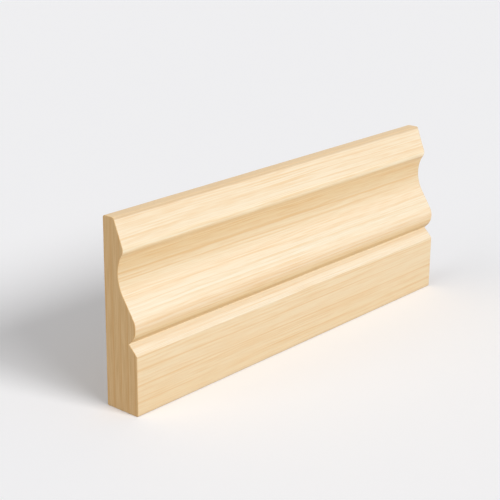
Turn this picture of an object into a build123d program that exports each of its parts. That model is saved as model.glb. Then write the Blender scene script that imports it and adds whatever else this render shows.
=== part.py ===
from build123d import *
from math import acos, atan2, cos, sin, sqrt
import os

# A short length of softwood ogee architrave, the moulding that trims a door frame:
# one piece of machined pine, 15 x 69 mm in section, standing on its thick edge.
#
# X runs along the length. The moulded face looks towards -Y, and the flat back that
# goes against the wall looks towards +Y. Z rises from the thick edge to the thin one.
# The origin is under the middle of the piece.
#
# One cutter, set from the face and from the thin edge, makes the whole profile. Each
# part of it is measured from those two, as a depth behind the face and a drop below
# the thin edge, so wider stock only gets a taller plinth.

# Stock, in millimetres
LENGTH = 175.0
WIDTH = 69.0
THICKNESS = 15.0

# Splay: the flat that slopes forward from the thin edge down to the nose
THIN_EDGE_DEPTH = 9.9
NOSE_DEPTH = 5.5
NOSE_DROP = 10.8
NOSE_RADIUS = 2.1

# Cove: the hollow that starts under the nose
COVE_RADIUS = 13.8
COVE_DEPTH = 8.4

# Ovolo: the round below the cove. A straight slope touches the two
OVOLO_RADIUS = 6.4
OVOLO_DEPTH = 0.5
OVOLO_DROP = 37.3

# Quirk: the square groove, both sides at 45 degrees, between the ovolo and the plinth
QUIRK_DEPTH = 3.7

# Arrises eased in the moulder, and the two sawn ends rubbed down
THIN_EDGE_RADIUS = 0.9
PLINTH_RADIUS = 0.3
FOOT_RADIUS = 0.5
END_CHAMFER = 0.2


def at(depth, drop):
    """A point of the section: Y is its first coordinate and Z its second."""
    return Vector(depth - THICKNESS / 2, WIDTH - drop)


def slope_ends(ovolo_centre, cove_centre):
    """Where the straight that touches both circles leaves the ovolo and meets the cove."""
    between = cove_centre - ovolo_centre
    angle = atan2(between.Y, between.X) + acos((OVOLO_RADIUS + COVE_RADIUS) / between.length)
    outward = Vector(cos(angle), sin(angle))
    return ovolo_centre + outward * OVOLO_RADIUS, cove_centre - outward * COVE_RADIUS


def profile():
    """The section with all its long arrises eased."""
    thin_edge = at(THIN_EDGE_DEPTH, 0)
    nose = at(NOSE_DEPTH, NOSE_DROP)

    cove_centre_depth = COVE_DEPTH - COVE_RADIUS
    cove_fall = sqrt(COVE_RADIUS**2 - (NOSE_DEPTH - cove_centre_depth) ** 2)
    cove_centre = at(cove_centre_depth, NOSE_DROP + cove_fall)
    ovolo_centre = at(OVOLO_DEPTH + OVOLO_RADIUS, OVOLO_DROP)
    slope_foot, slope_head = slope_ends(ovolo_centre, cove_centre)

    ovolo_foot = ovolo_centre - Vector(1, 1) * (OVOLO_RADIUS / sqrt(2))
    undercut = at(QUIRK_DEPTH, 0).X - ovolo_foot.X
    quirk = ovolo_foot + Vector(1, -1) * undercut
    plinth_top = quirk - Vector(1, 1) * QUIRK_DEPTH

    foot_front = at(0, WIDTH)
    foot_back = at(THICKNESS, WIDTH)
    thin_edge_back = at(THICKNESS, 0)

    section = make_face(
        Line(foot_front, plinth_top)
        + Line(plinth_top, quirk)
        + Line(quirk, ovolo_foot)
        + RadiusArc(ovolo_foot, slope_foot, OVOLO_RADIUS)
        + Line(slope_foot, slope_head)
        + RadiusArc(slope_head, nose, -COVE_RADIUS)
        + Polyline(nose, thin_edge, thin_edge_back, foot_back, foot_front)
    )
    for corner, radius in (
        (nose, NOSE_RADIUS),
        (thin_edge, THIN_EDGE_RADIUS),
        (plinth_top, PLINTH_RADIUS),
        (foot_front, FOOT_RADIUS),
        (foot_back, FOOT_RADIUS),
        (thin_edge_back, THIN_EDGE_RADIUS),
    ):
        section = fillet(section.vertices().sort_by_distance(corner)[0], radius)
    return section


def moulding():
    """The section run through the whole length, and its two ends."""
    piece = extrude(Plane.YZ * profile(), LENGTH / 2, both=True)
    ends = piece.faces().filter_by(Axis.X)
    return chamfer(ends.edges(), END_CHAMFER)


os.makedirs("parts", exist_ok=True)
export_step(moulding(), "parts/architrave_moulding.step")
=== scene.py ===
from functools import reduce
from math import acos, atan2, ceil, cos, pi, radians, sin, sqrt

import bpy
from mathutils import Matrix, Vector, noise

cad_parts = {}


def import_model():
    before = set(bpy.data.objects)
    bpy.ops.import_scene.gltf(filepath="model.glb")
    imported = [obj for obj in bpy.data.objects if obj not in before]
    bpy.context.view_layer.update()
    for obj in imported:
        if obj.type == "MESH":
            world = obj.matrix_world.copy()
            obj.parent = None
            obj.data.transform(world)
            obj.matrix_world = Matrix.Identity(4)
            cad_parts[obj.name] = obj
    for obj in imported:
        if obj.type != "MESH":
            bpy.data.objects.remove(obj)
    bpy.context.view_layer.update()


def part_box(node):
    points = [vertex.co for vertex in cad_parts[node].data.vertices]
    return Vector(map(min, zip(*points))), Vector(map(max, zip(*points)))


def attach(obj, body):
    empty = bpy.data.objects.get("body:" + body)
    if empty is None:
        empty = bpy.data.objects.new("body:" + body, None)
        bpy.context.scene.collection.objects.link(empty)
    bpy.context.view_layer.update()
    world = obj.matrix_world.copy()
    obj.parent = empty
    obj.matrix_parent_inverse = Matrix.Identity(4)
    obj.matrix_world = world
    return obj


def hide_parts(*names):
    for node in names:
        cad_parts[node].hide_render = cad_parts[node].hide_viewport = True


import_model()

# A short length of bare pine ogee architrave, standing on its thick edge. X runs along
# it, the moulded face looks towards -Y and Z rises from the thick edge to the thin one.

NODE = "architrave_moulding"
MM = 0.001

LOW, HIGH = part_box(NODE)
LENGTH = HIGH.x - LOW.x
THICKNESS = HIGH.y - LOW.y
WIDTH = HIGH.z - LOW.z

# The section, as depths behind the face and drops below the thin edge
THIN_EDGE_DEPTH = 9.9 * MM
THIN_EDGE_RADIUS = 0.9 * MM
NOSE_DEPTH = 5.5 * MM
NOSE_DROP = 10.8 * MM
NOSE_RADIUS = 3.0 * MM
UNDER_NOSE_DROP = 14.2 * MM
UNDER_NOSE_RADIUS = 8.0 * MM
COVE_RADIUS = 13.8 * MM
COVE_DEPTH = 8.4 * MM
OVOLO_RADIUS = 6.4 * MM
OVOLO_DEPTH = 0.5 * MM
OVOLO_DROP = 37.3 * MM
QUIRK_DEPTH = 3.7 * MM
PLINTH_RADIUS = 0.3 * MM
FOOT_RADIUS = 0.5 * MM
END_RADIUS = 0.2 * MM

# How finely the mesh follows the section and the length
RUN_STEP = 0.9 * MM
RUN_EDGE_STEP = 0.12 * MM
ARC_STEP = radians(3.5)
STATION_STEP = 1.0 * MM
END_STEPS = 4

# The moulder's chatter and the rubbing of hands: how far the surface strays, and how often
WEAR = 0.03 * MM
WEAR_LENGTH = 14 * MM
WEAR_ACROSS = 4 * MM

# The camera, in the row frame
CAMERA_PLACE = (-0.3722, -0.3056, 0.2004)
CAMERA_YAW = radians(48.90)
CAMERA_PITCH = radians(-18.82)
CAMERA_ROLL = radians(0.54)
CAMERA_ANGLE = radians(21.22)


# Section


def at(depth, drop):
    """A point of the section, as its Y and Z."""
    return Vector((depth - THICKNESS / 2, WIDTH - drop))


def run(start, end):
    """Points on a straight from start up to end, closer together near both."""
    length = (end - start).length
    edge = min(RUN_EDGE_STEP, length / 4)
    inner = max(1, ceil((length - 2 * edge) / RUN_STEP))
    places = [0, edge] + [edge + (length - 2 * edge) * i / inner for i in range(1, inner)]
    places.append(length - edge)
    return [start.lerp(end, place / length) for place in places]


def arc(centre, start, end):
    """Points on the shorter arc about centre from start up to end."""
    first = start - centre
    last = end - centre
    turn = atan2(first.x * last.y - first.y * last.x, first.dot(last))
    steps = max(2, ceil(abs(turn) / ARC_STEP))
    return [centre + Matrix.Rotation(turn * i / steps, 2) @ first for i in range(steps)]


def easing(before, corner, after, radius):
    """The centre, start and end of the arc that rounds a corner between two straights."""
    back = (before - corner).normalized()
    on = (after - corner).normalized()
    half = acos(max(-1.0, min(1.0, back.dot(on)))) / 2
    reach = radius / sin(half) * cos(half)
    centre = corner + (back + on).normalized() * (radius / sin(half))
    return centre, corner + back * reach, corner + on * reach


def section():
    """The closed outline, up the front, over the thin edge, down the back and along the foot.

    Also gives the outline's one sharp point, the bottom of the quirk.
    """
    foot_front = at(0, WIDTH)
    foot_back = at(THICKNESS, WIDTH)
    top_back = at(THICKNESS, 0)
    top_front = at(THIN_EDGE_DEPTH, 0)
    nose = at(NOSE_DEPTH, NOSE_DROP)

    cove_depth = COVE_DEPTH - COVE_RADIUS
    cove_fall = sqrt(COVE_RADIUS**2 - (NOSE_DEPTH - cove_depth) ** 2)
    cove = at(cove_depth, NOSE_DROP + cove_fall)
    ovolo = at(OVOLO_DEPTH + OVOLO_RADIUS, OVOLO_DROP)

    between = cove - ovolo
    lean = atan2(between.y, between.x) + acos((OVOLO_RADIUS + COVE_RADIUS) / between.length)
    outward = Vector((cos(lean), sin(lean)))
    slope_foot = ovolo + outward * OVOLO_RADIUS
    slope_head = cove - outward * COVE_RADIUS

    ovolo_foot = ovolo - Vector((1, 1)) * (OVOLO_RADIUS / sqrt(2))
    quirk = ovolo_foot + Vector((1, -1)) * (at(QUIRK_DEPTH, 0).x - ovolo_foot.x)
    plinth_top = quirk - Vector((1, 1)) * QUIRK_DEPTH

    # Under the nose the cove turns tighter, from a point of its circle up
    rise = cove.y - at(0, UNDER_NOSE_DROP).y
    under_nose = cove + Vector((sqrt(COVE_RADIUS**2 - rise**2), -rise))
    tight = under_nose.lerp(cove, UNDER_NOSE_RADIUS / COVE_RADIUS)

    # The nose's arc touches the splay on one side and that tighter circle on the other
    splay = (nose - top_front).normalized()
    inward = Vector((-splay.y, splay.x))
    offset_start = top_front + inward * NOSE_RADIUS
    gap = offset_start - tight
    half = gap.dot(splay)
    reach = -half - sqrt(half**2 - gap.length_squared + (UNDER_NOSE_RADIUS + NOSE_RADIUS) ** 2)
    nose_centre = offset_start + splay * reach
    nose_foot = tight + (nose_centre - tight).normalized() * UNDER_NOSE_RADIUS
    nose_head = nose_centre - inward * NOSE_RADIUS

    plinth_arc = easing(foot_front, plinth_top, quirk, PLINTH_RADIUS)
    top_front_arc = easing(nose, top_front, top_back, THIN_EDGE_RADIUS)
    top_back_arc = easing(top_front, top_back, foot_back, THIN_EDGE_RADIUS)
    foot_back_arc = easing(top_back, foot_back, foot_front, FOOT_RADIUS)
    foot_front_arc = easing(foot_back, foot_front, plinth_top, FOOT_RADIUS)

    outline = run(foot_front_arc[2], plinth_arc[1]) + arc(*plinth_arc)
    outline += run(plinth_arc[2], quirk)
    sharp = len(outline)
    outline += run(quirk, ovolo_foot) + arc(ovolo, ovolo_foot, slope_foot)
    outline += run(slope_foot, slope_head) + arc(cove, slope_head, under_nose)
    outline += arc(tight, under_nose, nose_foot) + arc(nose_centre, nose_foot, nose_head)
    outline += run(nose_head, top_front_arc[1]) + arc(*top_front_arc)
    outline += run(top_front_arc[2], top_back_arc[1]) + arc(*top_back_arc)
    outline += run(top_back_arc[2], foot_back_arc[1]) + arc(*foot_back_arc)
    outline += run(foot_back_arc[2], foot_front_arc[1]) + arc(*foot_front_arc)
    return outline, sharp


def outward_steps(outline):
    """For each point, the step out of the wood that moves both its sides by one unit."""
    steps = []
    for i, point in enumerate(outline):
        before = (point - outline[i - 1]).normalized()
        after = (outline[(i + 1) % len(outline)] - point).normalized()
        normal = Vector((-before.y, before.x)) + Vector((-after.y, after.x))
        steps.append(normal * (2 / normal.length_squared))
    return steps


# Moulding


def stations():
    """Each cross-section's place along X, and how far it is drawn in at the eased ends."""
    turns = [pi / 2 * i / END_STEPS for i in range(END_STEPS)]
    end = [(END_RADIUS * (1 - cos(turn)), END_RADIUS * (1 - sin(turn))) for turn in turns]
    plain = LENGTH - 2 * END_RADIUS
    count = ceil(plain / STATION_STEP)
    left = [(-LENGTH / 2 + reach, inset) for reach, inset in end]
    middle = [(-plain / 2 + plain * i / count, 0) for i in range(count + 1)]
    right = [(LENGTH / 2 - reach, inset) for reach, inset in reversed(end)]
    return left + middle + right


def moulding(long_grain, end_grain):
    """The whole piece: the section run along X between two eased, sawn ends."""
    outline, quirk = section()
    steps = outward_steps(outline)
    around = len(outline)
    places = stations()

    vertices = []
    for x, inset in places:
        for point, step in zip(outline, steps):
            spot = Vector((x / WEAR_LENGTH, point.x / WEAR_ACROSS, point.y / WEAR_ACROSS))
            wear = WEAR * (noise.noise(spot) - 0.5)
            moved = point + step * (wear - inset)
            vertices.append((x, moved.x, max(0.0, moved.y)))

    faces = []
    for row in range(len(places) - 1):
        for i in range(around):
            here = row * around + i
            beside = row * around + (i + 1) % around
            faces.append((here, here + around, beside + around, beside))
    faces.append(tuple(range(around)))
    faces.append(tuple(reversed(range(len(vertices) - around, len(vertices)))))

    mesh = bpy.data.meshes.new("pine_architrave")
    mesh.from_pydata(vertices, [], faces)
    mesh.materials.append(long_grain)
    mesh.materials.append(end_grain)
    mesh.shade_smooth()

    caps = {0, len(places) - 1}
    for edge in mesh.edges:
        rows = {v // around for v in edge.vertices}
        on_quirk = all(v % around == quirk for v in edge.vertices)
        edge.use_edge_sharp = on_quirk or (len(rows) == 1 and rows <= caps)

    # The ends and their eased arrises show end grain
    plain_rows = range(END_STEPS, len(places) - 1 - END_STEPS)
    for face in mesh.polygons:
        if face.index // around not in plain_rows:
            face.material_index = 1
    mesh.validate()

    piece = bpy.data.objects.new("pine_architrave", mesh)
    bpy.context.collection.objects.link(piece)
    return piece


# Materials

# The Mix node's colour sockets. It has others for numbers and for vectors
MIX_FIRST = 6
MIX_SECOND = 7
MIX_RESULT = 2


def rgba(colour):
    """A colour as its socket takes it. A node's output passes through."""
    return (*colour, 1) if isinstance(colour, tuple) else colour


class Nodes:
    """The node tree of a material or a world, with short ways to add nodes to it."""

    def __init__(self, owner):
        owner.use_nodes = True
        self.owner = owner
        self.tree = owner.node_tree
        self.tree.nodes.clear()

    def add(self, kind, inputs=None, **settings):
        """A new node, with each input set to a value or linked to another node's output."""
        made = self.tree.nodes.new("ShaderNode" + kind)
        for name, value in settings.items():
            setattr(made, name, value)
        for name, value in (inputs or {}).items():
            if isinstance(value, bpy.types.NodeSocket):
                self.tree.links.new(value, made.inputs[name])
            else:
                made.inputs[name].default_value = value
        return made

    def math(self, operation, *values, clamp=False):
        inputs = dict(enumerate(values))
        return self.add("Math", inputs, operation=operation, use_clamp=clamp).outputs[0]

    def total(self, values):
        return reduce(lambda one, other: self.math("ADD", one, other), values)

    def past(self, value, start, gain, clamp=False):
        """How far value is past start, times gain."""
        return self.math("MULTIPLY", self.math("SUBTRACT", value, start), gain, clamp=clamp)

    def vector(self, operation, *values):
        return self.add("VectorMath", dict(enumerate(values)), operation=operation).outputs[0]

    def parts(self, place):
        return self.add("SeparateXYZ", {0: place}).outputs

    def noise(self, place, cells, detail=1.0, output="Fac"):
        """A noise from 0 to 1, with so many cells in a millimetre along each axis."""
        scaled = self.vector("MULTIPLY", place, cells)
        made = self.add("TexNoise", {"Vector": scaled, "Scale": 1.0, "Detail": detail})
        return made.outputs[output]

    def swing(self, place, cells, strength):
        """The same noise about 0, strength high from its lowest to its highest."""
        return self.past(self.noise(place, cells), 0.5, strength)

    def ramp(self, value, stops):
        """The stops' colours or levels, each of them at its place from 0 to 1."""
        made = self.add("ValToRGB", {"Fac": value})
        elements = made.color_ramp.elements
        for i, (place, shown) in enumerate(stops):
            stop = elements[i] if i < 2 else elements.new(place)
            stop.position = place
            stop.color = rgba(shown) if isinstance(shown, tuple) else (shown, shown, shown, 1)
        return made.outputs["Color"]

    def by_height(self, z, stops):
        """A ramp of stops that are given by their height above the foot in millimetres."""
        top = WIDTH / MM
        places = [(height / top, shown) for height, shown in stops]
        return self.ramp(self.math("DIVIDE", z, top), places)

    def mix(self, factor, first, second, blend="MIX"):
        inputs = {"Factor": factor, MIX_FIRST: rgba(first), MIX_SECOND: rgba(second)}
        made = self.add("Mix", inputs, data_type="RGBA", blend_type=blend)
        return made.outputs[MIX_RESULT]

    def in_view(self):
        """1 for what the camera sees, also mirrored or through glass, and 0 for its light."""
        path = self.add("LightPath").outputs
        mirrored = self.math("MAXIMUM", path["Is Glossy Ray"], path["Is Transmission Ray"])
        return self.math("MAXIMUM", path["Is Camera Ray"], mirrored)


# How far the fibres sway from straight, in millimetres, and the sway's cells in a millimetre
SWAY = 0.5
SWAY_CELLS = (0.016, 0.06, 0.06)

# The planed back, and what a dark fibre or a strong line takes from the wood's colour
PLANED = (0.83, 0.68, 0.455)
FIBRE = (0.94, 0.82, 0.68)

# The moulded face's colours, by height above the foot in millimetres: the wood's tone with
# light and shade painted in.
# Painted highlights sit on the bevel's outer arris, the slope and the nose. Painted shade sits
# at the foot, on the bevel's inner half, in the quirk, in the cove and along the thin edge's
# front arris
FACE_TONE_AND_PAINTED_LIGHT = (
    (0.0, (0.745, 0.59, 0.37)),
    (1.6, (0.805, 0.65, 0.415)),
    (10.0, (0.83, 0.68, 0.45)),
    (21.6, (0.85, 0.705, 0.475)),
    (22.5, (0.83, 0.755, 0.605)),
    (23.7, (0.83, 0.735, 0.57)),
    (24.9, (0.765, 0.64, 0.455)),
    (25.5, (0.72, 0.615, 0.445)),
    (26.3, (0.90, 0.74, 0.48)),
    (27.5, (0.775, 0.555, 0.27)),
    (29.0, (0.92, 0.75, 0.46)),
    (32.0, (0.86, 0.705, 0.49)),
    (37.0, (0.835, 0.755, 0.59)),
    (42.0, (0.83, 0.705, 0.515)),
    (46.0, (0.80, 0.675, 0.47)),
    (50.0, (0.79, 0.625, 0.385)),
    (53.5, (0.85, 0.665, 0.39)),
    (56.5, (0.945, 0.74, 0.44)),
    (57.8, (0.97, 0.87, 0.645)),
    (60.0, (0.85, 0.735, 0.545)),
    (68.0, (0.84, 0.715, 0.52)),
    (68.4, (0.69, 0.545, 0.36)),
    (68.85, (0.65, 0.49, 0.30)),
    (68.95, (0.865, 0.635, 0.365)),
)

# Those colours stop this far behind the middle of the stock, in millimetres
FACE_BACK = 6.5

# How strong the grain is, by the same heights: quieter on the plinth and on the thin edge
GRAIN = ((0.0, 0.75), (21.5, 0.75), (22.5, 0.95), (68.4, 0.95), (68.8, 0.45))

# The fibres, from the longest to the shortest: cells in a millimetre, and strength. Wider
# bands lie under them, and the wood between keeps a plain tone
FIBRES = (
    ((0.002, 4.0, 1.8), 1.9),
    ((0.02, 4.0, 1.8), 1.5),
    ((0.10, 4.0, 1.8), 1.5),
)
BAND_CELLS = (0.007, 0.75, 0.75)
BAND_STRENGTH = 0.9
PLAIN_TONE = 0.35

# The stronger grain lines of the face: height above the foot in millimetres, and strength.
# Each is gone at LINE_WIDTH from its middle, and climbs a little towards the left end
STRONG_LINES = (
    (66.5, 0.40),
    (61.4, 0.90),
    (49.1, 1.80),
    (46.4, 2.00),
    (41.0, 0.60),
    (38.5, 0.70),
    (30.0, 0.60),
    (21.4, 1.20),
    (16.2, 1.20),
    (10.7, 1.30),
    (4.6, 1.30),
)
LINE_WIDTH = 0.42
LINE_SHARPNESS = 1.5
LINE_FALL = 0.006

# The strong lines and the rings come and go with a noise. They are gone where it is low
LINE_FADE_CELLS = (0.022, 0.5, 0.5)
RING_FADE_CELLS = (0.0, 0.35, 0.035)
FADED = 0.3
FADE_GAIN = 5.0

# The sawn ends: the pale wood, its fine upright lines, the rings and the pores
END_PALE = (0.725, 0.51, 0.26)
END_LINE = (0.64, 0.42, 0.187)
END_RING = (0.63, 0.365, 0.13)
END_LINE_CELLS = (0.0, 1.5, 0.09)
END_LINE_START = 0.36
END_LINE_GAIN = 2.6
PORE_CELLS = (2.0, 2.2, 2.2)
PORE_STRENGTH = 0.7

# The rings stand upright, RING_STEP millimetres apart, and each has a narrow dark band
RING_STEP = 3.4
RING_OFFSET = 1.4
RING_SHAPE = ((0.0, 0.0), (0.40, 0.0), (0.50, 1.0), (0.56, 0.3), (1.0, 0.0))

# How deep the grain's relief is, and how rough the planed and the sawn wood are
RELIEF = 0.02 * MM
PLANED_ROUGHNESS = 0.45
FIBRE_ROUGHNESS = 0.05
SAWN_ROUGHNESS = 0.7


def place_in_wood(nodes):
    """Object coordinates in millimetres, plain and swayed as the wood's fibres are."""
    place = nodes.vector("MULTIPLY", nodes.add("TexCoord").outputs["Object"], (1 / MM,) * 3)
    sway = nodes.noise(place, SWAY_CELLS, output="Color")
    centred = nodes.vector("SUBTRACT", sway, (0.5, 0.5, 0.5))
    return place, nodes.vector("ADD", place, nodes.vector("MULTIPLY", centred, (2 * SWAY,) * 3))


def strong_lines(nodes, place):
    """The strong lines' darkness, each of them thin, coming and going along the piece."""
    x, _, z = nodes.parts(place)
    height = nodes.math("ADD", z, nodes.math("MULTIPLY", x, LINE_FALL))
    lines = []
    for middle, strength in STRONG_LINES:
        off = nodes.math("ABSOLUTE", nodes.math("SUBTRACT", height, middle))
        inside = nodes.math("SUBTRACT", 1.0, nodes.math("DIVIDE", off, LINE_WIDTH), clamp=True)
        dark = nodes.math("POWER", inside, LINE_SHARPNESS)
        lines.append(nodes.math("MULTIPLY", dark, strength))
    fading = nodes.past(nodes.noise(place, LINE_FADE_CELLS), FADED, FADE_GAIN)
    return nodes.math("MULTIPLY", nodes.total(lines), nodes.math("MAXIMUM", fading, 0.0))


def finish_wood(nodes, colour, height, roughness):
    """A satin surface of that colour with that relief."""
    bump = nodes.add("Bump", {"Strength": 1.0, "Distance": RELIEF, "Height": height})
    inputs = {
        "Base Color": colour,
        "Roughness": roughness,
        "Specular IOR Level": 0.5,
        "Normal": bump.outputs[0],
    }
    shader = nodes.add("BsdfPrincipled", inputs)
    nodes.add("OutputMaterial", {"Surface": shader.outputs[0]})
    return nodes.owner


def long_grain_pine():
    """Planed pine with its fibres along X, the moulded face's colours with their painted
    highlights and painted shade, and its lines.
    """
    nodes = Nodes(bpy.data.materials.new("pine_long_grain"))
    place, swayed = place_in_wood(nodes)
    _, y, z = nodes.parts(place)

    fibres = nodes.total([nodes.swing(swayed, cells, strength) for cells, strength in FIBRES])
    bands = nodes.swing(swayed, BAND_CELLS, BAND_STRENGTH)
    grain = nodes.math("MAXIMUM", nodes.total([fibres, bands, PLAIN_TONE]), 0.0)
    tone = nodes.math("MULTIPLY", grain, nodes.by_height(z, GRAIN))
    tone = nodes.math("ADD", tone, strong_lines(nodes, swayed))

    # On the moulded face the base colour is the height ramp, which paints highlights and shade
    # into the wood's tone
    on_face = nodes.math("LESS_THAN", y, FACE_BACK)
    base = nodes.mix(on_face, PLANED, nodes.by_height(z, FACE_TONE_AND_PAINTED_LIGHT))
    colour = nodes.mix(tone, base, nodes.mix(1.0, base, FIBRE, "MULTIPLY"))
    rough = nodes.math("ADD", nodes.math("MULTIPLY", fibres, FIBRE_ROUGHNESS), PLANED_ROUGHNESS)
    return finish_wood(nodes, colour, fibres, rough)


def end_grain_pine():
    """Sawn pine across the fibres, with upright rings, fine lines and pores."""
    nodes = Nodes(bpy.data.materials.new("pine_end_grain"))
    place, swayed = place_in_wood(nodes)
    _, y, _ = nodes.parts(swayed)

    phase = nodes.math("DIVIDE", nodes.math("ADD", y, RING_OFFSET), RING_STEP)
    ring = nodes.ramp(nodes.math("FRACT", phase), RING_SHAPE)
    fading = nodes.past(nodes.noise(swayed, RING_FADE_CELLS), FADED, FADE_GAIN, clamp=True)

    lines = nodes.noise(swayed, END_LINE_CELLS, detail=1.5)
    pores = nodes.noise(place, PORE_CELLS)
    thin = nodes.past(lines, END_LINE_START, END_LINE_GAIN)
    grain = nodes.math("ADD", thin, nodes.past(pores, 0.5, PORE_STRENGTH), clamp=True)

    base = nodes.mix(grain, END_PALE, END_LINE)
    colour = nodes.mix(nodes.math("MULTIPLY", ring, fading), base, END_RING)
    return finish_wood(nodes, colour, pores, SAWN_ROUGHNESS)


# Floor, lights and camera

# The floor and the backdrop as they are seen, and the darker, warmer light that the floor
# sends up to the wood
FLOOR_SIZE = 8.0
FLOOR_COLOUR = (0.97, 0.969, 0.985)
FLOOR_BOUNCE = (0.42, 0.34, 0.29)
BACKGROUND = (0.885, 0.871, 0.878)


def floor():
    """A pale floor, wide enough to fill the picture, that keeps the wood's shadow."""
    nodes = Nodes(bpy.data.materials.new("pale_floor"))
    colour = nodes.mix(nodes.in_view(), FLOOR_BOUNCE, FLOOR_COLOUR)
    shader = nodes.add("BsdfDiffuse", {"Color": colour})
    nodes.add("OutputMaterial", {"Surface": shader.outputs[0]})

    half = FLOOR_SIZE / 2
    corners = [(-half, -half, 0), (half, -half, 0), (half, half, 0), (-half, half, 0)]
    mesh = bpy.data.meshes.new("floor")
    mesh.from_pydata(corners, [], [(0, 1, 2, 3)])
    mesh.materials.append(nodes.owner)
    made = bpy.data.objects.new("floor", mesh)
    bpy.context.collection.objects.link(made)


def world(level):
    """Even light of that level from all round, in front of a pale backdrop."""
    made = bpy.data.worlds.new("studio")
    nodes = Nodes(made)
    colour = nodes.mix(nodes.in_view(), (level, level, level), BACKGROUND)
    back = nodes.add("Background", {"Color": colour})
    nodes.add("OutputWorld", {"Surface": back.outputs[0]})
    bpy.context.scene.world = made


def sun(name, azimuth, elevation, spread, level):
    """A distant soft light, with its angles in degrees.

    azimuth is counted from -Y towards +X, and level is what a white surface that faces the
    light square on gets from it.
    """
    lamp = bpy.data.lights.new(name, "SUN")
    lamp.energy = level * pi
    lamp.angle = radians(spread)
    made = bpy.data.objects.new(name, lamp)
    turn = radians(azimuth)
    rise = radians(elevation)
    towards = Vector((sin(turn) * cos(rise), -cos(turn) * cos(rise), sin(rise)))
    made.rotation_euler = towards.to_track_quat("Z", "Y").to_euler()
    bpy.context.collection.objects.link(made)


def camera():
    """The photo's own view of the near end and the moulded face."""
    lens = bpy.data.cameras.new("photo_camera")
    lens.angle = CAMERA_ANGLE
    made = bpy.data.objects.new("photo_camera", lens)
    turn = Matrix.Rotation(-CAMERA_YAW, 4, "Z")
    tilt = Matrix.Rotation(radians(90) + CAMERA_PITCH, 4, "X")
    roll = Matrix.Rotation(CAMERA_ROLL, 4, "Z")
    made.matrix_world = Matrix.Translation(CAMERA_PLACE) @ turn @ tilt @ roll
    bpy.context.collection.objects.link(made)
    bpy.context.scene.camera = made


piece = moulding(long_grain_pine(), end_grain_pine())
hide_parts(NODE)
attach(piece, "root")

floor()
world(level=0.395)
sun("key", azimuth=10, elevation=32, spread=20, level=0.53)
sun("key_left", azimuth=-7, elevation=32, spread=22, level=0.24)
sun("left_fill", azimuth=-100, elevation=15, spread=44, level=0.32)
camera()

bpy.context.scene.view_settings.view_transform = "Standard"
